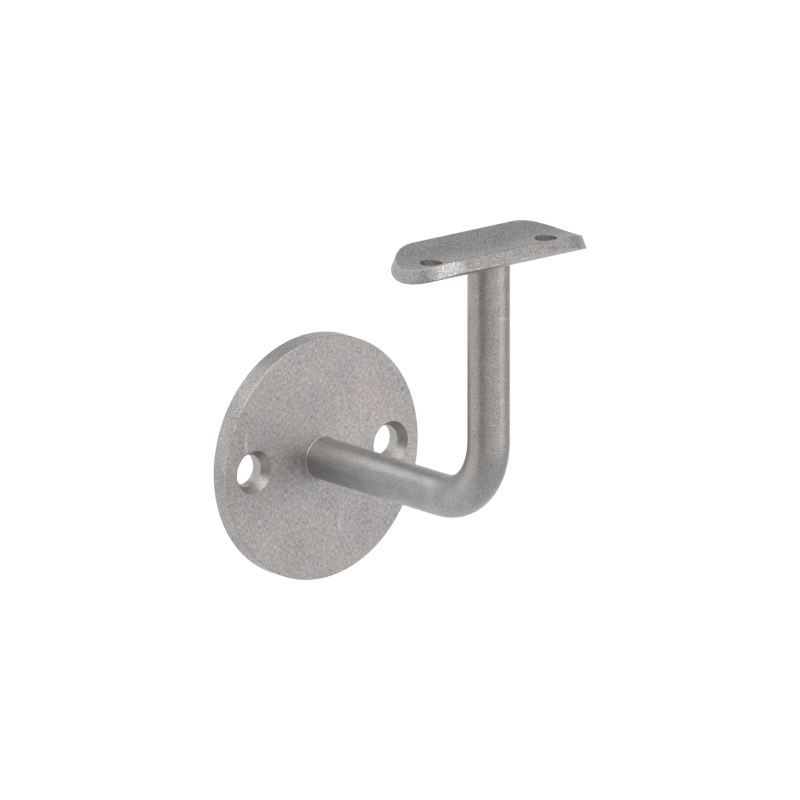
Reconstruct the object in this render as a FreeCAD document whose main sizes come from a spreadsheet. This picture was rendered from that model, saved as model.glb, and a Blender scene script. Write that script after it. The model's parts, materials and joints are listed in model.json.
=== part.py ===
import FreeCAD, Part
import math
import os
import Sketcher

# A wall bracket for a round handrail: a disc screwed to the wall, a rod through the disc that
# bends upwards, and a saddle on top of the rod that is screwed to the rail from below.
# The origin is the centre of the disc's back face. +Y points into the wall, +X runs along
# the rail and +Z is up. Lengths are in millimetres and angles in degrees.

dimensions = {
    "plate_diameter": 70.0,         # the wall disc
    "plate_thickness": 6.0,
    "wall_screw_spacing": 50.0,     # between the two wall screws, level with the disc's centre
    "wall_screw_hole": 9.2,
    "countersink_diameter": 12.6,   # at the disc's front face
    "countersink_angle": 66.0,      # the cone's full angle
    "rod_diameter": 12.0,
    "bend_radius": 20.0,            # of the rod's centre line
    "wall_to_rail": 78.5,           # from the disc's back face to the middle of the rail
    "bore_clearance": 0.05,         # between the disc's bore and the rod, all round
    "bore_edge_break": 0.2,         # at the front of the bore
    "weld_leg": 2.0,                # of the chamfer that the weld fills, at the back of the bore
    "saddle_height": 71.0,          # from the disc's centre to the saddle's underside
    "saddle_thickness": 4.0,
    "saddle_length": 63.6,          # along the rail, at the underside
    "saddle_width": 27.2,           # across the rail, at the lower rim
    "end_lean": 16.0,               # of the saddle's end walls, inwards from upright
    "rail_diameter": 42.4,
    "rail_play": 0.5,               # by which the seat's radius is larger than the rail's
    "rail_screw_spacing": 42.0,
    "rail_screw_hole": 6.4,
    "edge_rounding": 0.3,           # on every rim that a hand can reach
}

doc = FreeCAD.newDocument("HandrailBracket")
sheet = doc.addObject("Spreadsheet::Sheet", "Sizes")
for row, (alias, value) in enumerate(dimensions.items(), start=1):
    sheet.set(f"A{row}", alias.replace("_", " "))
    sheet.set(f"B{row}", str(value))
    sheet.setAlias(f"B{row}", alias)
doc.recompute()

# Sizes that follow from the driving ones, as expressions.
# The rail, the seat, the underside and the cut in the rod's top share one axis.
rod_radius = "(Sizes.rod_diameter / 2)"
bore_radius = f"({rod_radius} + Sizes.bore_clearance)"
seat_radius = "(Sizes.rail_diameter / 2 + Sizes.rail_play)"
underside_radius = f"({seat_radius} + Sizes.saddle_thickness)"
rail_height = f"(Sizes.saddle_height + {underside_radius})"
wrap_angle = f"asin(Sizes.saddle_width / 2 / {underside_radius})"


def evaluate(expression):
    """The value that an expression over the sheet has now."""
    value = sheet.evalExpression(expression.replace("Sizes.", ""))
    return float(getattr(value, "Value", value))


def new_body(name, **position):
    """A body whose node name is its label, placed by an expression for each axis given."""
    body = doc.addObject("PartDesign::Body", name)
    body.Label = name
    for axis, expression in position.items():
        body.setExpression(f"Placement.Base.{axis}", expression)
    return body


def new_sketch(body, name, role, lift=None):
    """A sketch on one of the body's own origin planes, lifted along the plane's normal."""
    plane = next(item for item in body.Origin.OriginFeatures if item.Role == role)
    sketch = body.newObject("Sketcher::SketchObject", name)
    sketch.AttachmentSupport = [(plane, "")]
    sketch.MapMode = "FlatFace"
    if lift:
        sketch.setExpression("AttachmentOffset.Base.z", lift)
    return sketch


def drive(sketch, name, expression, *constraint):
    """Add a dimension to a sketch under a name of its own and bind it to an expression."""
    index = sketch.addConstraint(Sketcher.Constraint(*constraint, evaluate(expression)))
    sketch.renameConstraint(index, name)
    sketch.setExpression(f"Constraints.{name}", expression)


def add_circle(sketch, name, radius, x=None, y=None):
    """A circle with its centre at the sketch's origin, or at the x or y given."""
    centre = FreeCAD.Vector(evaluate(x) if x else 0, evaluate(y) if y else 0, 0)
    circle = sketch.addGeometry(Part.Circle(centre, FreeCAD.Vector(0, 0, 1), evaluate(radius)))
    drive(sketch, f"{name}_radius", radius, "Radius", circle)
    if x:
        drive(sketch, f"{name}_x", x, "DistanceX", -1, 1, circle, 3)
    else:
        sketch.addConstraint(Sketcher.Constraint("PointOnObject", circle, 3, -2))
    if y:
        drive(sketch, f"{name}_y", y, "DistanceY", -1, 1, circle, 3)
    else:
        sketch.addConstraint(Sketcher.Constraint("PointOnObject", circle, 3, -1))
    return circle


def add_square(sketch, name, half_side, y):
    """An upright square, with its centre on the sketch's second axis at y."""
    reach = evaluate(half_side)
    middle = evaluate(y)
    corners = [(-reach, -reach), (reach, -reach), (reach, reach), (-reach, reach)]
    points = [FreeCAD.Vector(across, middle + along, 0) for across, along in corners]
    sides = [
        sketch.addGeometry(Part.LineSegment(points[index], points[(index + 1) % 4]))
        for index in range(4)
    ]
    for side, following in zip(sides, sides[1:] + sides[:1]):
        sketch.addConstraint(Sketcher.Constraint("Coincident", side, 2, following, 1))
    for level, upright in ((sides[0], sides[1]), (sides[2], sides[3])):
        sketch.addConstraint(Sketcher.Constraint("Horizontal", level))
        sketch.addConstraint(Sketcher.Constraint("Vertical", upright))
    drive(sketch, f"{name}_left", half_side, "DistanceX", sides[0], 1, -1, 1)
    drive(sketch, f"{name}_right", half_side, "DistanceX", -1, 1, sides[0], 2)
    drive(sketch, f"{name}_top", f"{y} + {half_side}", "DistanceY", -1, 1, sides[2], 1)
    drive(sketch, f"{name}_side", f"2 * {half_side}", "DistanceY", sides[1], 1, sides[1], 2)


def add_stadium(sketch, name, length, width):
    """A slot outline about the sketch's origin: two straight sides and two full-round ends."""
    radius = evaluate(width) / 2
    centre = evaluate(length) / 2 - radius
    normal = FreeCAD.Vector(0, 0, 1)
    right_circle = Part.Circle(FreeCAD.Vector(centre, 0, 0), normal, radius)
    left_circle = Part.Circle(FreeCAD.Vector(-centre, 0, 0), normal, radius)
    right = sketch.addGeometry(Part.ArcOfCircle(right_circle, -math.pi / 2, math.pi / 2))
    far = sketch.addGeometry(
        Part.LineSegment(FreeCAD.Vector(centre, radius, 0), FreeCAD.Vector(-centre, radius, 0)))
    left = sketch.addGeometry(Part.ArcOfCircle(left_circle, math.pi / 2, 3 * math.pi / 2))
    near = sketch.addGeometry(
        Part.LineSegment(FreeCAD.Vector(-centre, -radius, 0), FreeCAD.Vector(centre, -radius, 0)))
    outline = (right, far, left, near)
    for piece, following in zip(outline, outline[1:] + outline[:1]):
        sketch.addConstraint(Sketcher.Constraint("Tangent", piece, 2, following, 1))
    sketch.addConstraint(Sketcher.Constraint("Equal", right, left))
    sketch.addConstraint(Sketcher.Constraint("PointOnObject", right, 3, -1))
    sketch.addConstraint(Sketcher.Constraint("PointOnObject", left, 3, -1))
    drive(sketch, f"{name}_radius", f"{width} / 2", "Radius", right)
    drive(sketch, f"{name}_right", f"({length} - {width}) / 2", "DistanceX", -1, 1, right, 3)
    drive(sketch, f"{name}_left", f"({length} - {width}) / 2", "DistanceX", left, 3, -1, 1)


def add_pad(body, name, sketch, length):
    """Extrude a sketch along its normal."""
    pad = body.newObject("PartDesign::Pad", name)
    pad.Profile = sketch
    pad.setExpression("Length", length)
    doc.recompute()
    return pad


def cut_through(body, name, sketch):
    """Cut a sketch's faces out of the body, right through it on both sides of the sketch."""
    before = body.Shape.Volume
    pocket = body.newObject("PartDesign::Pocket", name)
    pocket.Profile = sketch
    pocket.Type = "ThroughAll"
    pocket.Midplane = True
    doc.recompute()
    if not body.Shape.Volume < before:
        raise RuntimeError(f"{name} removes nothing")
    return pocket


def dress(body, kind, name, size_property, size, wanted):
    """Round (Fillet) or bevel (Chamfer) the edges of the body's last feature that are wanted."""
    base = body.Tip
    edges = [f"Edge{index}" for index, edge in enumerate(base.Shape.Edges, start=1) if wanted(edge)]
    if not edges:
        raise RuntimeError(f"{name} finds no edge")
    feature = body.newObject(f"PartDesign::{kind}", name)
    feature.Base = (base, edges)
    feature.setExpression(size_property, size)
    doc.recompute()
    return feature


def circle_edge(radius, y):
    """A test for a full circle about the Y axis, with this radius and at this place along Y."""
    def wanted(edge):
        curve = edge.Curve
        return (
            isinstance(curve, Part.Circle)
            and math.isclose(curve.Radius, evaluate(radius), abs_tol=1e-6)
            and math.isclose(curve.Center.x, 0, abs_tol=1e-6)
            and math.isclose(curve.Center.y, evaluate(y), abs_tol=1e-6)
        )
    return wanted


# The wall disc. Its sketches lie on the plane of the wall, whose normal points at the room.
def make_wall_plate():
    body = new_body("wall_plate")
    outline = new_sketch(body, "plate_outline", "XZ_Plane")
    add_circle(outline, "plate", "Sizes.plate_diameter / 2")
    add_pad(body, "plate_disc", outline, "Sizes.plate_thickness")
    bore = new_sketch(body, "bore_outline", "XZ_Plane")
    add_circle(bore, "bore", bore_radius)
    cut_through(body, "rod_bore", bore)

    front = "-Sizes.plate_thickness"
    dress(body, "Chamfer", "weld_chamfer", "Size", "Sizes.weld_leg", circle_edge(bore_radius, "0"))
    dress(body, "Chamfer", "bore_edge", "Size", "Sizes.bore_edge_break",
          circle_edge(bore_radius, front))
    for name, y in (("front_rim", front), ("back_rim", "0")):
        dress(body, "Fillet", name, "Radius", "Sizes.edge_rounding",
              circle_edge("Sizes.plate_diameter / 2", y))

    screws = new_sketch(body, "wall_screw_centres", "XZ_Plane", lift="Sizes.plate_thickness")
    for name, sign in (("left", "-"), ("right", "")):
        add_circle(screws, name, "Sizes.wall_screw_hole / 2",
                   x=f"{sign}Sizes.wall_screw_spacing / 2")
    before = body.Shape.Volume
    holes = body.newObject("PartDesign::Hole", "wall_screw_holes")
    holes.Profile = screws
    doc.recompute()
    holes.ThreadType = "None"
    holes.DepthType = "ThroughAll"
    holes.DrillPoint = "Flat"
    holes.HoleCutType = "Countersink"
    holes.HoleCutCustomValues = True
    holes.setExpression("Diameter", "Sizes.wall_screw_hole")
    holes.setExpression("HoleCutDiameter", "Sizes.countersink_diameter")
    holes.setExpression("HoleCutCountersinkAngle", "Sizes.countersink_angle")
    doc.recompute()
    if not body.Shape.Volume < before:
        raise RuntimeError("the wall screw holes remove nothing")
    return body


# The rod. Its centre line lies in the plane across the rail: level from the disc's back face,
# round the bend, and straight up to the rail's axis. The saddle's underside then cuts its top.
def make_bent_rod():
    body = new_body("bent_rod")
    path = new_sketch(body, "rod_path", "YZ_Plane")
    reach = evaluate("Sizes.wall_to_rail")
    bend = evaluate("Sizes.bend_radius")
    top = evaluate(rail_height)
    corner = Part.Circle(
        FreeCAD.Vector(bend - reach, bend, 0), FreeCAD.Vector(0, 0, 1), bend)
    level = path.addGeometry(
        Part.LineSegment(FreeCAD.Vector(0, 0, 0), FreeCAD.Vector(bend - reach, 0, 0)))
    arc = path.addGeometry(Part.ArcOfCircle(corner, math.pi, 3 * math.pi / 2))
    upright = path.addGeometry(
        Part.LineSegment(FreeCAD.Vector(-reach, bend, 0), FreeCAD.Vector(-reach, top, 0)))
    path.addConstraint(Sketcher.Constraint("Coincident", level, 1, -1, 1))
    path.addConstraint(Sketcher.Constraint("Horizontal", level))
    path.addConstraint(Sketcher.Constraint("Vertical", upright))
    path.addConstraint(Sketcher.Constraint("Tangent", level, 2, arc, 2))
    path.addConstraint(Sketcher.Constraint("Tangent", arc, 1, upright, 1))
    drive(path, "bend_radius", "Sizes.bend_radius", "Radius", arc)
    drive(path, "wall_to_rail", "Sizes.wall_to_rail", "DistanceX", upright, 2, -1, 1)
    drive(path, "rail_height", rail_height, "DistanceY", -1, 1, upright, 2)

    section = new_sketch(body, "rod_section", "XZ_Plane")
    add_circle(section, "rod", rod_radius)
    pipe = body.newObject("PartDesign::AdditivePipe", "rod_sweep")
    pipe.Profile = section
    pipe.Spine = path
    doc.recompute()

    cope = new_sketch(body, "cope_outline", "YZ_Plane")
    add_circle(cope, "cope", underside_radius, x="-Sizes.wall_to_rail", y=rail_height)
    cut_through(body, "saddle_cope", cope)
    return body


# The weld: a ring that fills the chamfer at the back of the bore, flush with the wall face.
def make_plate_weld():
    body = new_body("plate_weld")
    profile = new_sketch(body, "weld_profile", "YZ_Plane")
    leg = evaluate("Sizes.weld_leg")
    inner = evaluate(rod_radius)
    outer = evaluate(bore_radius)
    corners = [(0, inner), (0, outer + leg), (-leg, outer), (-leg, inner)]
    points = [FreeCAD.Vector(y, z, 0) for y, z in corners]
    wall_side, cone, root, rod_side = [
        profile.addGeometry(Part.LineSegment(points[index], points[(index + 1) % 4]))
        for index in range(4)
    ]
    sides = (wall_side, cone, root, rod_side)
    for side, following in zip(sides, sides[1:] + sides[:1]):
        profile.addConstraint(Sketcher.Constraint("Coincident", side, 2, following, 1))
    profile.addConstraint(Sketcher.Constraint("PointOnObject", wall_side, 1, -2))
    profile.addConstraint(Sketcher.Constraint("Vertical", wall_side))
    profile.addConstraint(Sketcher.Constraint("Vertical", root))
    profile.addConstraint(Sketcher.Constraint("Horizontal", rod_side))
    drive(profile, "rod_radius", rod_radius, "DistanceY", -1, 1, wall_side, 1)
    drive(profile, "mouth_radius", f"{bore_radius} + Sizes.weld_leg",
          "DistanceY", -1, 1, wall_side, 2)
    drive(profile, "bore_radius", bore_radius, "DistanceY", -1, 1, root, 1)
    drive(profile, "depth", "Sizes.weld_leg", "DistanceX", root, 1, -1, 1)
    ring = body.newObject("PartDesign::Revolution", "weld_ring")
    ring.Profile = profile
    ring.ReferenceAxis = (profile, ["H_Axis"])
    ring.Angle = 360
    doc.recompute()
    return body


# The saddle. Its own origin is the lowest point of its underside, on the rod's axis. A slug
# with radial long sides and leaning round ends is cut by two cylinders about the rail's axis,
# so the wall between them has the same thickness everywhere.
def make_rail_saddle():
    body = new_body("rail_saddle", y="-Sizes.wall_to_rail", z="Sizes.saddle_height")
    axis_height = underside_radius
    spare = "Sizes.saddle_thickness / 4"
    slug_bottom = f"(-{spare})"
    slug_top = f"({axis_height} - {seat_radius} * cos({wrap_angle}) + {spare})"
    levels = []
    for name, level in (("slug_bottom", slug_bottom), ("slug_top", slug_top)):
        outline = new_sketch(body, name, "XY_Plane", lift=level)
        add_stadium(
            outline, name,
            length=f"(Sizes.saddle_length - 2 * {level} * tan(Sizes.end_lean))",
            width=f"(2 * ({axis_height} - {level}) * tan({wrap_angle}))")
        levels.append(outline)
    slug = body.newObject("PartDesign::AdditiveLoft", "saddle_slug")
    slug.Profile = levels[0]
    slug.Sections = levels[1:]
    slug.Ruled = True
    doc.recompute()

    underside = new_sketch(body, "underside_outline", "YZ_Plane")
    add_square(underside, "clear_of_slug", f"(2 * {underside_radius})", y=axis_height)
    add_circle(underside, "underside", underside_radius, y=axis_height)
    cut_through(body, "underside_cut", underside)
    seat = new_sketch(body, "seat_outline", "YZ_Plane")
    add_circle(seat, "seat", seat_radius, y=axis_height)
    cut_through(body, "rail_seat", seat)

    for name, radius in (("seat_rim", seat_radius), ("underside_rim", underside_radius)):
        dress(body, "Fillet", name, "Radius", "Sizes.edge_rounding", rim_of(body.Tip.Shape, radius))

    screws = new_sketch(body, "rail_screw_centres", "XY_Plane")
    for name, sign in (("left", "-"), ("right", "")):
        add_circle(screws, name, "Sizes.rail_screw_hole / 2",
                   x=f"{sign}Sizes.rail_screw_spacing / 2")
    cut_through(body, "rail_screw_holes", screws)
    return body


def rim_of(shape, radius):
    """A test for the edges round the faces of a shape that are cylinders of this radius."""
    faces = [
        face for face in shape.Faces
        if isinstance(face.Surface, Part.Cylinder)
        and math.isclose(face.Surface.Radius, evaluate(radius), abs_tol=1e-6)
    ]
    rim = [edge for face in faces for edge in face.Edges]
    return lambda edge: any(edge.isSame(other) for other in rim)


parts = [make_wall_plate(), make_bent_rod(), make_plate_weld(), make_rail_saddle()]
doc.recompute()

for item in doc.Objects:
    if {"Invalid", "Error"} & set(item.State):
        raise RuntimeError(f"{item.Label} could not be built: {item.State}")
os.makedirs("parts", exist_ok=True)
for body in parts:
    shape = body.Shape
    if shape.isNull() or not shape.isValid() or len(shape.Solids) != 1:
        raise RuntimeError(f"{body.Label} is not one valid solid")
    shape.exportStep(os.path.join("parts", f"{body.Label}.step"))
    box = shape.BoundBox
    print(f"{body.Label}: {shape.Volume:.1f} mm3, x {box.XMin:.2f} to {box.XMax:.2f}, "
          f"y {box.YMin:.2f} to {box.YMax:.2f}, z {box.ZMin:.2f} to {box.ZMax:.2f}")
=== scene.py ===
import json
import math

import bpy
import numpy as np
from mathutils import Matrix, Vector


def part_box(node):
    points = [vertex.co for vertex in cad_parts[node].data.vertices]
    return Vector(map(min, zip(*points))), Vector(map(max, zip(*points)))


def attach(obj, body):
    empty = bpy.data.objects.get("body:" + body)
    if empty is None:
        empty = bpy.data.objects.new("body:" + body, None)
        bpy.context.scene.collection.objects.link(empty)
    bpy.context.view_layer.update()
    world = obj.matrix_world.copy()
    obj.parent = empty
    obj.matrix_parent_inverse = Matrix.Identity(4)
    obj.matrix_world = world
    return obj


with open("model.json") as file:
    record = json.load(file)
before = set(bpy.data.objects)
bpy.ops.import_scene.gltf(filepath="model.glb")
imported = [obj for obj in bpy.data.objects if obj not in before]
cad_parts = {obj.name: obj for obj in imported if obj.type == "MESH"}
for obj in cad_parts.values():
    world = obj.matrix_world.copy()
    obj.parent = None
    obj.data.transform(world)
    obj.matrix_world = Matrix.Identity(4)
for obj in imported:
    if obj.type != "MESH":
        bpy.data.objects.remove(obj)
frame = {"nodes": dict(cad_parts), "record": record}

# A wall bracket for a round handrail, in brushed stainless steel. Its four parts come from the
# frame as they are: the wall plate, the bent rod, the weld that joins them and the rail saddle.
# This script gives them their finish, lays a fine bead round the rod's root, and sets the room,
# the lamps and the camera. Lengths are in metres and angles in degrees.

print("frame: measuring the parts")
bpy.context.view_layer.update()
nodes = frame["nodes"]
scene = bpy.context.scene

plateLow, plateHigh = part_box("wall_plate")
rodLow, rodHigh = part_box("bent_rod")
saddleLow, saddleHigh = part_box("rail_saddle")
railPlace = next(m for m in frame["record"]["mounts"] if m["name"] == "rail_screws")["pos_m"]

plateThickness = plateHigh[1] - plateLow[1]
plateRadius = (plateHigh[0] - plateLow[0]) / 2
rodRadius = (rodHigh[0] - rodLow[0]) / 2
rodReach = -railPlace[1]            # from the wall to the middle of the upright length
quarterTurn = math.pi / 2
white = (1, 1, 1, 1)


def feed(tree, socket, value):
    # Gives an input another node's output, or a plain value.
    if isinstance(value, bpy.types.NodeSocket):
        tree.links.new(value, socket)
    else:
        socket.default_value = value


def addNode(tree, kind, inputs=None, **settings):
    # One node. An input is named by its label or number.
    node = tree.nodes.new(kind)
    for name, value in settings.items():
        setattr(node, name, value)
    for socket, value in (inputs or {}).items():
        feed(tree, node.inputs[socket], value)
    return node


def mathNode(tree, operation, first, second=0.0, third=0.0):
    # The output of one sum on single values.
    node = addNode(tree, "ShaderNodeMath", {0: first, 1: second, 2: third}, operation=operation)
    return node.outputs[0]


def vectorNode(tree, operation, first, second):
    # The output of one sum on vectors.
    node = addNode(tree, "ShaderNodeVectorMath", {0: first, 1: second}, operation=operation)
    return node.outputs[0]


def lengthNode(tree, vector):
    # The square root of the sum of the squares of a vector's three axes.
    return addNode(tree, "ShaderNodeVectorMath", {0: vector}, operation="LENGTH").outputs["Value"]


def splitAxes(tree, vector):
    # The three axes of a vector, named X, Y and Z.
    return addNode(tree, "ShaderNodeSeparateXYZ", {0: vector}).outputs


def joinAxes(tree, first, second, third):
    # A vector of three values.
    return addNode(tree, "ShaderNodeCombineXYZ", {0: first, 1: second, 2: third}).outputs[0]


def noiseNode(tree, place, scale=1.0, detail=0.0, roughness=0.5):
    # Soft noise about 0.5, whose cells are one unit over the scale across.
    inputs = {"Vector": place, "Scale": scale, "Detail": detail, "Roughness": roughness}
    return addNode(tree, "ShaderNodeTexNoise", inputs).outputs[0]


def rangeNode(tree, value, low, high, toLow=0.0, toHigh=1.0):
    # A value carried from one range to another along a straight line, and held at both ends.
    sockets = {"Value": value, "From Min": low, "From Max": high, "To Min": toLow, "To Max": toHigh}
    return addNode(tree, "ShaderNodeMapRange", sockets).outputs["Result"]


def mixNode(tree, kind, share, first, second):
    # The first colour or place where the share is 0 and the second where it is 1.
    node = addNode(tree, "ShaderNodeMix", data_type=kind)
    for label, value in (("Factor", share), ("A", first), ("B", second)):
        feed(tree, next(s for s in node.inputs if s.name == label and s.enabled), value)
    return next(s for s in node.outputs if s.enabled)


def mixValues(tree, share, first, second):
    # first + share * (second - first)
    return mathNode(tree, "MULTIPLY_ADD", share, mathNode(tree, "SUBTRACT", second, first), first)


def scaleColour(tree, colour, level):
    # A colour made lighter or darker by one value.
    node = addNode(tree, "ShaderNodeVectorMath", {0: colour, "Scale": level}, operation="SCALE")
    return node.outputs[0]


def newGroup(name, inputs, outputs):
    # An empty node group with its sockets. Each entry is a name, a kind and a starting value.
    tree = bpy.data.node_groups.new(name, "ShaderNodeTree")
    for label, kind, value in inputs:
        socket = tree.interface.new_socket(label, in_out="INPUT", socket_type="NodeSocket" + kind)
        if value is not None:
            socket.default_value = value
    for label, kind in outputs:
        tree.interface.new_socket(label, in_out="OUTPUT", socket_type="NodeSocket" + kind)
    return tree, tree.nodes.new("NodeGroupInput").outputs, tree.nodes.new("NodeGroupOutput").inputs


def setOutputs(tree, result, values):
    # Joins each value to the group's output of the same name.
    for label, value in values.items():
        tree.links.new(value, result[label])


def placeGroup(tree, group, inputs):
    # The outputs of a group placed in a material or another group with its own values.
    return addNode(tree, "ShaderNodeGroup", inputs, node_tree=group).outputs


def newMaterial(name):
    # A material with no nodes yet, and its tree.
    material = bpy.data.materials.new(name)
    material.use_nodes = True
    material.node_tree.nodes.clear()
    return material, material.node_tree


print("finish: building the shared effects")

strandEffect = {
    "detail": 1.0,
    "roughness": 0.6,
    "darkest": 0.3,                 # the noise that counts as the darkest strand
    "lightest": 0.7,
}


def makeStrandGroup():
    # Fine crossing strands, as abrasive cloth leaves them. Each set is noise squeezed to the
    # strand's width across and drawn out to its length along; the third axis is along.
    values = strandEffect
    tree, given, result = newGroup(
        "brushedStrands",
        [("Place", "Vector", None), ("Width", "Float", 0.0003), ("Length", "Float", 0.001),
         ("Weave", "Float", 0.4)],
        [("Grain", "Float"), ("Relief", "Float")])
    perWidth = mathNode(tree, "DIVIDE", 1.0, given["Width"])
    perLength = mathNode(tree, "DIVIDE", 1.0, given["Length"])
    strands = []
    for across, along in ((perWidth, perLength), (perLength, perWidth)):
        place = vectorNode(tree, "MULTIPLY", given["Place"], joinAxes(tree, across, perWidth, along))
        strands.append(noiseNode(tree, place, 1.0, values["detail"], values["roughness"]))
    woven = mixValues(tree, given["Weave"], strands[0], strands[1])
    grain = rangeNode(tree, woven, values["darkest"], values["lightest"], -1.0, 1.0)
    setOutputs(tree, result, {"Grain": grain, "Relief": woven})
    return tree


patchEffect = {
    "toneDetail": 2.0,
    "toneRoughness": 0.5,
    "toneDarkest": 0.3,
    "toneLightest": 0.7,
    "warmthMove": (17.0, 5.0, 29.0),    # keeps the warmth's pattern apart from the tone's
    "warmthScale": 0.8,
    "warmthDetail": 3.0,
    "warmthRoughness": 0.6,
    "warmthCoolest": 0.35,
    "warmthWarmest": 0.65,
}


def makePatchGroup():
    # Broad soft patches: one set lightens and darkens, the other turns from cool to warm.
    # Both are noise drawn out a little along the third axis.
    values = patchEffect
    tree, given, result = newGroup(
        "softPatches",
        [("Place", "Vector", None), ("Patch", "Float", 0.006), ("Drawn", "Float", 1.6)],
        [("Tone", "Float"), ("Warmth", "Float")])
    perPatch = mathNode(tree, "DIVIDE", 1.0, given["Patch"])
    perDrawn = mathNode(tree, "DIVIDE", perPatch, given["Drawn"])
    place = vectorNode(tree, "MULTIPLY", given["Place"], joinAxes(tree, perPatch, perPatch, perDrawn))
    tone = noiseNode(tree, place, 1.0, values["toneDetail"], values["toneRoughness"])
    moved = vectorNode(tree, "ADD", place, values["warmthMove"])
    warmth = noiseNode(tree, moved, values["warmthScale"], values["warmthDetail"],
                       values["warmthRoughness"])
    setOutputs(tree, result, {
        "Tone": rangeNode(tree, tone, values["toneDarkest"], values["toneLightest"], -1.0, 1.0),
        "Warmth": rangeNode(tree, warmth, values["warmthCoolest"], values["warmthWarmest"])})
    return tree


scratchEffect = {
    "lineLevel": 0.5,               # the noise that a scratch follows
    "shownMove": (3.0, 41.0, 11.0),     # keeps the noise that picks scratches apart from theirs
    "shownScale": 1.7,
    "shownDetail": 1.0,
    "shownStep": 0.05,              # over which a scratch comes in along its length
}


def makeScratchGroup():
    # Hair scratches: a thin line wherever stretched noise passes through its middle value, kept
    # only where a second, finer noise is high, so that each line is short and stands alone.
    values = scratchEffect
    tree, given, result = newGroup(
        "hairScratches",
        [("Place", "Vector", None), ("Spacing", "Float", 0.004), ("Length", "Float", 0.02),
         ("Thinness", "Float", 0.008), ("Rarity", "Float", 0.56)],
        [("Scratch", "Float")])
    perSpacing = mathNode(tree, "DIVIDE", 1.0, given["Spacing"])
    perLength = mathNode(tree, "DIVIDE", 1.0, given["Length"])
    stretch = joinAxes(tree, perSpacing, perSpacing, perLength)
    place = vectorNode(tree, "MULTIPLY", given["Place"], stretch)
    fromLine = mathNode(tree, "SUBTRACT", noiseNode(tree, place), values["lineLevel"])
    hair = rangeNode(tree, mathNode(tree, "ABSOLUTE", fromLine), 0.0, given["Thinness"], 1.0, 0.0)
    moved = vectorNode(tree, "ADD", place, values["shownMove"])
    picked = noiseNode(tree, moved, values["shownScale"], values["shownDetail"])
    high = mathNode(tree, "ADD", given["Rarity"], values["shownStep"])
    shown = rangeNode(tree, picked, given["Rarity"], high)
    setOutputs(tree, result, {"Scratch": mathNode(tree, "MULTIPLY", hair, shown)})
    return tree


brushedStrands = makeStrandGroup()
softPatches = makePatchGroup()
hairScratches = makeScratchGroup()

steelEffect = {
    "grainPolish": 0.15,            # how much smoother the light strands are
    "scratchRelief": -0.3,          # a scratch's height beside that of the strands
}


def makeSteelGroup():
    # Brushed steel at a place: the warm and cool colours mixed by the patches, made lighter or
    # darker by tone and grain, with light scratches, and roughness and relief to go with them.
    tree, given, result = newGroup(
        "brushedSteel",
        [("Place", "Vector", None), ("Cool", "Color", (0.39, 0.385, 0.385, 1)),
         ("Warm", "Color", (0.43, 0.395, 0.385, 1)), ("Strand Width", "Float", 0.0003),
         ("Strand Length", "Float", 0.001), ("Weave", "Float", 0.4), ("Grain", "Float", 0.1),
         ("Patch", "Float", 0.006), ("Clouding", "Float", 0.05), ("Scratches", "Float", 0.1),
         ("Roughness", "Float", 0.45)],
        [("Colour", "Color"), ("Roughness", "Float"), ("Relief", "Float")])
    place = given["Place"]
    strands = placeGroup(tree, brushedStrands,
                         {"Place": place, "Width": given["Strand Width"],
                          "Length": given["Strand Length"], "Weave": given["Weave"]})
    patches = placeGroup(tree, softPatches, {"Place": place, "Patch": given["Patch"]})
    scratch = placeGroup(tree, hairScratches, {"Place": place})["Scratch"]
    grain = mathNode(tree, "MULTIPLY", strands["Grain"], given["Grain"])
    clouding = mathNode(tree, "MULTIPLY", patches["Tone"], given["Clouding"])
    light = mathNode(tree, "MULTIPLY", scratch, given["Scratches"])
    level = mathNode(tree, "ADD", mathNode(tree, "ADD", grain, clouding), light)
    level = mathNode(tree, "ADD", level, 1.0)
    colour = mixNode(tree, "RGBA", patches["Warmth"], given["Cool"], given["Warm"])
    polish = mathNode(tree, "MULTIPLY", grain, steelEffect["grainPolish"])
    cut = mathNode(tree, "MULTIPLY", scratch, steelEffect["scratchRelief"])
    setOutputs(tree, result, {
        "Colour": scaleColour(tree, colour, level),
        "Roughness": mathNode(tree, "SUBTRACT", given["Roughness"], polish),
        "Relief": mathNode(tree, "ADD", strands["Relief"], cut)})
    return tree


brushedSteel = makeSteelGroup()


def steelInputs(values, place):
    # The values of one finish, named as the steel group's inputs are. The strands' width and
    # length and the patches are in metres. Weave is the share of crossing strands, and grain,
    # clouding and scratches say how far strands, patches and scratches change the lightness.
    return {"Place": place, "Cool": (*values["cool"], 1), "Warm": (*values["warm"], 1),
            "Strand Width": values["strandWidth"], "Strand Length": values["strandLength"],
            "Weave": values["weave"], "Grain": values["grain"], "Patch": values["patch"],
            "Clouding": values["clouding"], "Scratches": values["scratches"],
            "Roughness": values["roughness"]}


def mixFinishes(tree, share, first, second):
    # The inputs of one finish where the share is 0 and of the other where it is 1.
    kinds = {"Place": "VECTOR", "Cool": "RGBA", "Warm": "RGBA"}
    mixed = {}
    for label, one in first.items():
        if label in kinds:
            mixed[label] = mixNode(tree, kinds[label], share, one, second[label])
        else:
            mixed[label] = mixValues(tree, share, one, second[label])
    return mixed


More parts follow.
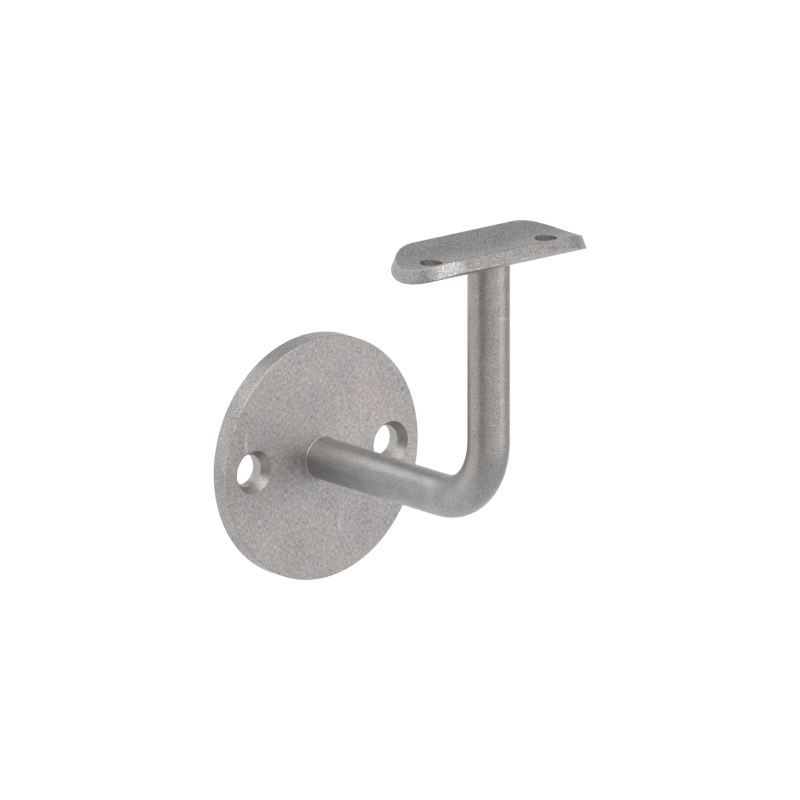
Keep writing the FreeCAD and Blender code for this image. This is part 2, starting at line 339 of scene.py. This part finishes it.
def paintSteel(name, values, makeInputs, makeTangent=None):
    # A whole material. The inputs of the steel group come from makeInputs, which is given the
    # tree and the place on the part. Relief is the bump's height in metres, and viewColour the
    # colour in the solid view. Where the grain runs one way, anisotropy draws the highlights out
    # along the tangent, across that grain.
    material, tree = newMaterial(name)
    material.diffuse_color = (*values["viewColour"], 1)
    place = addNode(tree, "ShaderNodeTexCoord").outputs["Object"]
    steel = placeGroup(tree, brushedSteel, makeInputs(tree, place))
    bump = addNode(tree, "ShaderNodeBump",
                   {"Strength": 1.0, "Distance": values["relief"], "Height": steel["Relief"]})
    shader = addNode(tree, "ShaderNodeBsdfPrincipled",
                     {"Base Color": steel["Colour"], "Metallic": 1.0,
                      "Roughness": steel["Roughness"], "Normal": bump.outputs[0],
                      "Anisotropic": values.get("anisotropy", 0.0)})
    if makeTangent:
        feed(tree, shader.inputs["Tangent"], makeTangent(tree, place))
    addNode(tree, "ShaderNodeOutputMaterial", {"Surface": shader.outputs[0]})
    return material


print("wall plate: brushed faces, a turned rim and bored holes")

wallPlate = {
    "face": {"cool": (0.439, 0.423, 0.427), "warm": (0.480, 0.444, 0.423), "strandWidth": 0.00023,
             "strandLength": 0.0013, "weave": 0.42, "grain": 0.46, "patch": 0.008,
             "clouding": 0.06, "scratches": 0.35, "roughness": 0.50},
    "rim": {"cool": (0.405, 0.400, 0.394), "warm": (0.420, 0.405, 0.392), "strandWidth": 0.00026,
            "strandLength": 0.00045, "weave": 0.5, "grain": 0.65, "patch": 0.006,
            "clouding": 0.08, "scratches": 0.10, "roughness": 0.46},
    "hole": {"cool": (0.425, 0.416, 0.409), "warm": (0.450, 0.430, 0.414), "strandWidth": 0.00022,
             "strandLength": 0.0004, "weave": 0.5, "grain": 0.35, "patch": 0.004,
             "clouding": 0.10, "scratches": 0.10, "roughness": 0.40},
    "faceDepth": 0.0002,            # how far behind its flat faces the brushing reaches
    "faceBlend": 0.0001,            # over which it comes in
    "rimDepth": 0.0010,             # how far inside its outline the rim's finish reaches
    "rimBlend": 0.00025,            # over which that one comes in
    "relief": 0.000008,
    "viewColour": (0.42, 0.39, 0.38),
}


def wallPlateInputs(tree, place):
    # The brushed face shows where a point's depth from the middle of the plate is nearly half
    # the thickness. Elsewhere the rim's finish shows near the plate's full radius, and the
    # holes' finish nearer to the middle.
    values = wallPlate
    depth = mathNode(tree, "ADD", splitAxes(tree, place)["Y"], plateThickness / 2)
    faceEdge = plateThickness / 2 - values["faceDepth"]
    onFace = rangeNode(tree, mathNode(tree, "ABSOLUTE", depth), faceEdge,
                       faceEdge + values["faceBlend"])
    outwards = lengthNode(tree, vectorNode(tree, "MULTIPLY", place, (1.0, 0.0, 1.0)))
    rimEdge = plateRadius - values["rimDepth"]
    onRim = rangeNode(tree, outwards, rimEdge, rimEdge + values["rimBlend"])
    walls = mixFinishes(tree, onRim, steelInputs(values["hole"], place),
                        steelInputs(values["rim"], place))
    return mixFinishes(tree, onFace, walls, steelInputs(values["face"], place))


nodes["wall_plate"].material_slots[0].material = paintSteel("plateSteel", wallPlate, wallPlateInputs)

print("bent rod: grain that follows the bend")

bentRod = {
    "upright": {"cool": (0.399, 0.384, 0.375), "warm": (0.420, 0.384, 0.369), "strandWidth": 0.00026,
                "strandLength": 0.0004, "weave": 0.5, "grain": 0.56, "patch": 0.006,
                "clouding": 0.08, "scratches": 0.25, "roughness": 0.44},
    "level": {"cool": (0.404, 0.401, 0.394), "warm": (0.423, 0.419, 0.410), "strandWidth": 0.00026,
              "strandLength": 0.0004, "weave": 0.5, "grain": 0.42, "patch": 0.005,
              "clouding": 0.06, "scratches": 0.12, "roughness": 0.42},
    "bendRadius": 0.020,            # of the rod's centre line
    "uprightFrom": 0.5,             # how far along the bend its finish turns to the upright's
    "uprightTo": 1.2,               # where that is done, as a share of the bend
    "anisotropy": 0.6,              # the rod was brushed while it turned
    "relief": 0.000008,
    "viewColour": (0.42, 0.39, 0.38),
}


def makeRodPlaceGroup():
    # Turns a place into (height above the centre line, distance along it, across), so that what
    # is drawn out along the third axis runs round the rod. Forward is measured from the start of
    # the bend and up from its end. The height is the bend radius less the distance from the
    # bend's centre, and the distance along is the forward length before the bend, the arc
    # within it and the upward length after it.
    tree, given, result = newGroup("alongRod",
                                   [("Place", "Vector", None), ("Reach", "Float", 0.0785),
                                    ("Bend Radius", "Float", 0.02)],
                                   [("Place", "Vector"), ("Along", "Float")])
    radius = given["Bend Radius"]
    axes = splitAxes(tree, given["Place"])
    bendStart = mathNode(tree, "SUBTRACT", given["Reach"], radius)
    outwards = mathNode(tree, "MULTIPLY", axes["Y"], -1.0)
    forward = mathNode(tree, "SUBTRACT", outwards, bendStart)
    upward = mathNode(tree, "SUBTRACT", axes["Z"], radius)
    bendForward = mathNode(tree, "MAXIMUM", forward, 0.0)
    bendDown = mathNode(tree, "MAXIMUM", mathNode(tree, "MULTIPLY", upward, -1.0), 0.0)
    square = mathNode(tree, "MULTIPLY", bendDown, bendDown)
    distance = mathNode(tree, "SQRT", mathNode(tree, "MULTIPLY_ADD", bendForward, bendForward, square))
    height = mathNode(tree, "SUBTRACT", radius, distance)
    arc = mathNode(tree, "MULTIPLY", mathNode(tree, "ARCTAN2", bendForward, bendDown), radius)
    straight = mathNode(tree, "ADD", mathNode(tree, "MINIMUM", forward, 0.0),
                        mathNode(tree, "MAXIMUM", upward, 0.0))
    along = mathNode(tree, "ADD", straight, arc)
    setOutputs(tree, result, {"Place": joinAxes(tree, height, along, axes["X"]), "Along": along})
    return tree


alongRod = makeRodPlaceGroup()
bendLength = bentRod["bendRadius"] * quarterTurn


def followRod(tree, place):
    # The place along the rod, for this rod's own reach and bend.
    return placeGroup(tree, alongRod, {"Place": place, "Reach": rodReach,
                                       "Bend Radius": bentRod["bendRadius"]})


def bentRodInputs(tree, place):
    # The upright length is coarser and warmer than the level one; the change is spread over
    # the bend.
    values = bentRod
    followed = followRod(tree, place)
    onUpright = rangeNode(tree, followed["Along"], bendLength * values["uprightFrom"],
                          bendLength * values["uprightTo"])
    return mixFinishes(tree, onUpright, steelInputs(values["level"], followed["Place"]),
                       steelInputs(values["upright"], followed["Place"]))


def bentRodTangent(tree, place):
    # The direction along the rod: forward before the bend, upward after it, and turned from one
    # to the other by the arc's length over its radius.
    angle = rangeNode(tree, followRod(tree, place)["Along"], 0.0, bendLength, 0.0, quarterTurn)
    forward = mathNode(tree, "MULTIPLY", mathNode(tree, "COSINE", angle), -1.0)
    return joinAxes(tree, 0.0, forward, mathNode(tree, "SINE", angle))


nodes["bent_rod"].material_slots[0].material = paintSteel(
    "rodSteel", bentRod, bentRodInputs, bentRodTangent)

print("plate weld: dressed flush at the back, with a bright bead round the rod in front")

plateWeld = {
    "steel": {"cool": (0.44, 0.43, 0.42), "warm": (0.48, 0.45, 0.42), "strandWidth": 0.0003,
              "strandLength": 0.0005, "weave": 0.5, "grain": 0.25, "patch": 0.002,
              "clouding": 0.12, "scratches": 0.1, "roughness": 0.45},
    "relief": 0.000010,
    "viewColour": (0.44, 0.42, 0.40),
}

rootBead = {
    "leg": 0.00024,                 # its height along the rod and its width on the plate
    "sunk": 0.00004,                # how far it reaches into the rod and the plate
    "roundSteps": 160,              # faces round the rod
    "hollowSteps": 6,               # faces across the hollow
    "steel": {"cool": (0.42, 0.41, 0.40), "warm": (0.46, 0.43, 0.40), "strandWidth": 0.0003,
              "strandLength": 0.0004, "weave": 0.5, "grain": 0.15, "patch": 0.002,
              "clouding": 0.1, "scratches": 0.0, "roughness": 0.38},
    "relief": 0.000004,
    "viewColour": (0.55, 0.54, 0.52),
}


def gridFaces(points, closed=False):
    # The corners of each face between two neighbouring rows and columns of a grid of points.
    # A closed grid also joins its last row and column to the first.
    rows, columns = points.shape[:2]
    index = np.arange(rows * columns).reshape(rows, columns)
    if closed:
        index = np.pad(index, 1, mode="wrap")[1:, 1:]
    return np.stack([index[:-1, :-1], index[:-1, 1:], index[1:, 1:], index[1:, :-1]], axis=-1)


def addSurface(name, points, faces, material):
    # A smooth surface of four-cornered faces over a grid of points.
    mesh = bpy.data.meshes.new(name)
    mesh.from_pydata(points.reshape(-1, 3).tolist(), [], faces.reshape(-1, 4).tolist())
    mesh.polygons.foreach_set("use_smooth", np.ones(len(mesh.polygons), dtype=bool))
    mesh.materials.append(material)
    surface = bpy.data.objects.new(name, mesh)
    scene.collection.objects.link(surface)
    return surface


def plateWeldInputs(tree, place):
    # One finish all over.
    return steelInputs(plateWeld["steel"], place)


def rootBeadInputs(tree, place):
    # One finish all over.
    return steelInputs(rootBead["steel"], place)


def makeRootBead(material):
    # A hollow fillet carried round the rod: a quarter circle about a centre one leg away from
    # both the rod and the plate, closed by a corner that lies inside them.
    leg, sunk = rootBead["leg"], rootBead["sunk"]
    hollow = np.linspace(0.0, quarterTurn, rootBead["hollowSteps"] + 1)
    radius = rodRadius + leg - leg * np.cos(hollow)
    depth = plateLow[1] - leg + leg * np.sin(hollow)
    radius = np.concatenate([[rodRadius - sunk], radius, [rodRadius + leg, rodRadius - sunk]])
    depth = np.concatenate([[plateLow[1] - leg], depth, [plateLow[1] + sunk, plateLow[1] + sunk]])
    turn = np.linspace(0.0, 2 * math.pi, rootBead["roundSteps"], endpoint=False)[:, None]
    points = np.stack([radius * np.cos(turn), depth + 0.0 * turn, radius * np.sin(turn)], axis=-1)
    return addSurface("rootBead", points, gridFaces(points, closed=True), material)


nodes["plate_weld"].material_slots[0].material = paintSteel("weldSteel", plateWeld, plateWeldInputs)
bead = makeRootBead(paintSteel("beadSteel", rootBead, rootBeadInputs))
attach(bead, "root")

print("rail saddle: milled seat and ground sides")

railSaddle = {
    "side": {"cool": (0.382, 0.374, 0.369), "warm": (0.422, 0.392, 0.378), "strandWidth": 0.00028,
             "strandLength": 0.00045, "weave": 0.4, "grain": 0.66, "patch": 0.005,
             "clouding": 0.10, "scratches": 0.15, "roughness": 0.44},
    "seat": {"cool": (0.418, 0.414, 0.406), "warm": (0.429, 0.422, 0.410), "strandWidth": 0.00022,
             "strandLength": 0.0008, "weave": 0.15, "grain": 0.46, "patch": 0.006,
             "clouding": 0.05, "scratches": 0.10, "roughness": 0.50},
    "thickness": 0.004,
    "seatRadius": 0.0217,           # of the seat that the rail lies in
    "seatDepth": 0.00015,           # how far behind the seat its own finish reaches
    "seatBlend": 0.0001,            # over which it gives way to the sides' finish
    "relief": 0.000008,
    "viewColour": (0.42, 0.39, 0.38),
}


def railSaddleInputs(tree, place):
    # The milled finish shows where the distance from the rail's axis is the seat's radius, and
    # its strands run along the rail; the ground finish shows everywhere else.
    values = railSaddle
    axes = splitAxes(tree, place)
    alongRail = joinAxes(tree, axes["Y"], axes["Z"], axes["X"])
    axisHeight = saddleLow[2] + values["thickness"] + values["seatRadius"]
    fromAxis = vectorNode(tree, "SUBTRACT", place, (0.0, -rodReach, axisHeight))
    distance = lengthNode(tree, vectorNode(tree, "MULTIPLY", fromAxis, (0.0, 1.0, 1.0)))
    sideEdge = values["seatRadius"] + values["seatDepth"]
    behindSeat = rangeNode(tree, distance, sideEdge - values["seatBlend"], sideEdge)
    return mixFinishes(tree, behindSeat, steelInputs(values["seat"], alongRail),
                       steelInputs(values["side"], place))


nodes["rail_saddle"].material_slots[0].material = paintSteel(
    "saddleSteel", railSaddle, railSaddleInputs)

print("stage: white sweep behind and below, grey room in front and above")

studio = {
    "floorDrop": 0.95,              # from the part down to the floor, as high as a handrail hangs
    "sweepRadius": 1.6,             # of the round backdrop
    "sweepCorner": 0.5,             # where the floor turns up into the backdrop
    "sweepTop": 30.0,               # height of the backdrop's upper edge as the part sees it
    "cornerSteps": 16,              # faces up the corner
    "sweepSteps": 64,               # faces round the backdrop
    "roomRadius": 2.4,              # of the grey walls
    "roomSteps": 128,               # faces round the room
    "riseSteps": 48,                # faces up the room
    "roomGlow": 0.414,              # their light at the part's height
    "floorGlow": 0.273,             # what the pale floor adds to it straight below
    "rightGlow": 0.088,             # what the right side adds and the left side lacks
    "paperWhite": 0.90,             # the backdrop's own light, which the lamps bring up to white
    "paperShade": 0.25,             # the share that the lamps add and the part's shadow takes away
    "worldWhite": 1.0,              # the world's light where it is seen directly
    "lampDistance": 1.1,            # from the part
    "lamps": {                      # azimuth, elevation, half the width as an angle, and light
        "keyLamp": (-23.2, 43.0, 39.4, 1.52),
        "backLamp": (-136.4, 54.3, 22.0, 1.63),
        "sideLamp": (34.1, 7.0, 13.5, 1.50),
        "upperSideLamp": (35.0, 15.0, 13.0, 0.93),
        "lowSideLamp": (60.0, -12.0, 13.0, 0.38),
        "wideSideLamp": (20.0, 5.0, 28.0, 0.45),
    },
}
partMiddle = Vector((0.0, -rodReach / 2, (plateLow[2] + saddleHigh[2]) / 2))


def addStage(name, points, material):
    # A surface that is not part of the object.
    surface = addSurface(name, points, gridFaces(points), material)
    return surface


def makeSweep(material):
    # Half a bowl behind the part: a profile of flat floor, quarter-round corner and upright wall,
    # carried round half a turn about the vertical through the part.
    radius, corner = studio["sweepRadius"], studio["sweepCorner"]
    floor = partMiddle.z - studio["floorDrop"]
    top = partMiddle.z + radius * math.tan(math.radians(studio["sweepTop"]))
    bend = np.linspace(0.0, quarterTurn, studio["cornerSteps"] + 1)
    out = np.concatenate([[0.0], radius - corner + corner * np.sin(bend), [radius]])
    height = np.concatenate([[floor], floor + corner * (1 - np.cos(bend)), [top]])
    turn = np.linspace(0.0, math.pi, studio["sweepSteps"] + 1)[:, None]
    points = np.stack([partMiddle.x + out * np.cos(turn), partMiddle.y + out * np.sin(turn),
                       height + 0.0 * turn], axis=-1)
    return addStage("sweep", points, material)


def makeRoom(material):
    # A dome round the part, open where the sweep stands. For each direction round the part its
    # lower edge is at the sweep's upper edge behind and straight down in front.
    radius, steps = studio["roomRadius"], studio["roomSteps"]
    turn = np.linspace(0.0, 2 * math.pi, steps + 1)[:, None]
    behind = np.sin(turn) > math.pi / steps     # straight to either side counts as in front
    lowest = np.where(behind, math.radians(studio["sweepTop"]), -quarterTurn)
    rise = lowest + (quarterTurn - lowest) * np.linspace(0.0, 1.0, studio["riseSteps"] + 1)
    points = np.stack([partMiddle.x + radius * np.cos(rise) * np.cos(turn),
                       partMiddle.y + radius * np.cos(rise) * np.sin(turn),
                       partMiddle.z + radius * np.sin(rise)], axis=-1)
    return addStage("greyRoom", points, material)


def seenDirectly(tree):
    # 1 for rays from the camera and for those that a mirror or glass sends on.
    path = addNode(tree, "ShaderNodeLightPath").outputs
    either = mathNode(tree, "MAXIMUM", path["Is Camera Ray"], path["Is Glossy Ray"])
    return mathNode(tree, "MAXIMUM", either, path["Is Transmission Ray"])


def makePaperMaterial():
    # White paper: its own light for what is seen directly, and a pale share that takes shadow.
    material, tree = newMaterial("sweepPaper")
    shade = studio["paperShade"]
    diffuse = addNode(tree, "ShaderNodeBsdfDiffuse", {"Color": (shade, shade, shade, 1)})
    strength = mathNode(tree, "MULTIPLY", seenDirectly(tree), studio["paperWhite"])
    glow = addNode(tree, "ShaderNodeEmission", {"Color": white, "Strength": strength})
    both = addNode(tree, "ShaderNodeAddShader", {0: diffuse.outputs[0], 1: glow.outputs[0]})
    addNode(tree, "ShaderNodeOutputMaterial", {"Surface": both.outputs[0]})
    return material


def makeRoomMaterial():
    # Grey walls that glow, more towards the floor and the right: the height below the part and
    # the distance to the right, both as shares of the room's radius, each add their part.
    material, tree = newMaterial("roomGrey")
    radius = studio["roomRadius"]
    place = addNode(tree, "ShaderNodeTexCoord").outputs["Object"]
    axes = splitAxes(tree, vectorNode(tree, "SUBTRACT", place, tuple(partMiddle)))
    below = mathNode(tree, "MAXIMUM", mathNode(tree, "MULTIPLY", axes["Z"], -1.0), 0.0)
    fromFloor = mathNode(tree, "MULTIPLY", below, studio["floorGlow"] / radius)
    fromRight = mathNode(tree, "MULTIPLY", axes["X"], studio["rightGlow"] / radius)
    strength = mathNode(tree, "ADD", mathNode(tree, "ADD", fromFloor, fromRight), studio["roomGlow"])
    glow = addNode(tree, "ShaderNodeEmission", {"Color": white, "Strength": strength})
    addNode(tree, "ShaderNodeOutputMaterial", {"Surface": glow.outputs[0]})
    material.cycles.emission_sampling = "NONE"
    return material


def setWorld():
    # White where it is seen directly, and as grey as the room for the rest.
    world = bpy.data.worlds.new("studioWorld")
    scene.world = world
    world.use_nodes = True
    tree = world.node_tree
    tree.nodes.clear()
    strength = mixValues(tree, seenDirectly(tree), studio["roomGlow"], studio["worldWhite"])
    sky = addNode(tree, "ShaderNodeBackground", {"Color": white, "Strength": strength})
    addNode(tree, "ShaderNodeOutputWorld", {"Surface": sky.outputs[0]})


def directionFrom(azimuth, elevation):
    # The unit vector from the part: azimuth 0 is in front, and elevation is above level.
    turn, rise = math.radians(azimuth), math.radians(elevation)
    return Vector((math.sin(turn) * math.cos(rise), -math.cos(turn) * math.cos(rise), math.sin(rise)))


def addLamps():
    # Round soft lamps that face the part. A lamp's radius is its distance times the tangent of
    # its half width, and its power is its light times pi times its area.
    distance = studio["lampDistance"]
    for name, (azimuth, elevation, halfWidth, light) in studio["lamps"].items():
        radius = distance * math.tan(math.radians(halfWidth))
        area = math.pi * radius ** 2
        direction = directionFrom(azimuth, elevation)
        lamp = bpy.data.lights.new(name, "AREA")
        lamp.shape = "DISK"
        lamp.size = 2 * radius
        lamp.energy = light * math.pi * area
        holder = bpy.data.objects.new(name, lamp)
        holder.location = partMiddle + direction * distance
        holder.rotation_euler = direction.to_track_quat("Z", "Y").to_euler()
        holder.visible_camera = False
        scene.collection.objects.link(holder)


makeSweep(makePaperMaterial())
room = makeRoom(makeRoomMaterial())
room.visible_camera = False         # the camera looks in through the room's wall
setWorld()
addLamps()

print("camera: straight-on projection from the front left, a little above")

viewpoint = {
    "azimuth": -40.0,
    "elevation": 15.0,
    "partShare": 0.466,             # of the view's width that the part takes up
    "distance": 0.6,                # from the part's middle
    "nearest": 0.01,                # what is nearer or farther than these isn't seen
    "farthest": 10.0,
}


def spanAlong(axis):
    # The lowest and highest value of the parts' points times the axis, added up.
    reach = []
    for node in nodes.values():
        places = np.empty(len(node.data.vertices) * 3, dtype=np.float32)
        node.data.vertices.foreach_get("co", places)
        reach.append(places.reshape(-1, 3) @ np.array(axis))
    every = np.concatenate(reach)
    return float(every.min()), float(every.max())


def addCamera():
    # The view has no perspective. It is centred on the part as the camera sees it, so the part
    # is measured along the view's own two directions.
    back = directionFrom(viewpoint["azimuth"], viewpoint["elevation"])
    turned = (-back).to_track_quat("-Z", "Y")
    right, up = turned @ Vector((1, 0, 0)), turned @ Vector((0, 1, 0))
    (left, far), (low, high) = spanAlong(right), spanAlong(up)
    camera = bpy.data.cameras.new("camera")
    camera.type = "ORTHO"
    camera.ortho_scale = (far - left) / viewpoint["partShare"]
    camera.clip_start = viewpoint["nearest"]
    camera.clip_end = viewpoint["farthest"]
    holder = bpy.data.objects.new("camera", camera)
    holder.rotation_mode = "QUATERNION"
    holder.rotation_quaternion = turned
    holder.location = right * (left + far) / 2 + up * (low + high) / 2 + back * viewpoint["distance"]
    scene.collection.objects.link(holder)
    scene.camera = holder


addCamera()
scene.view_settings.view_transform = "Standard"
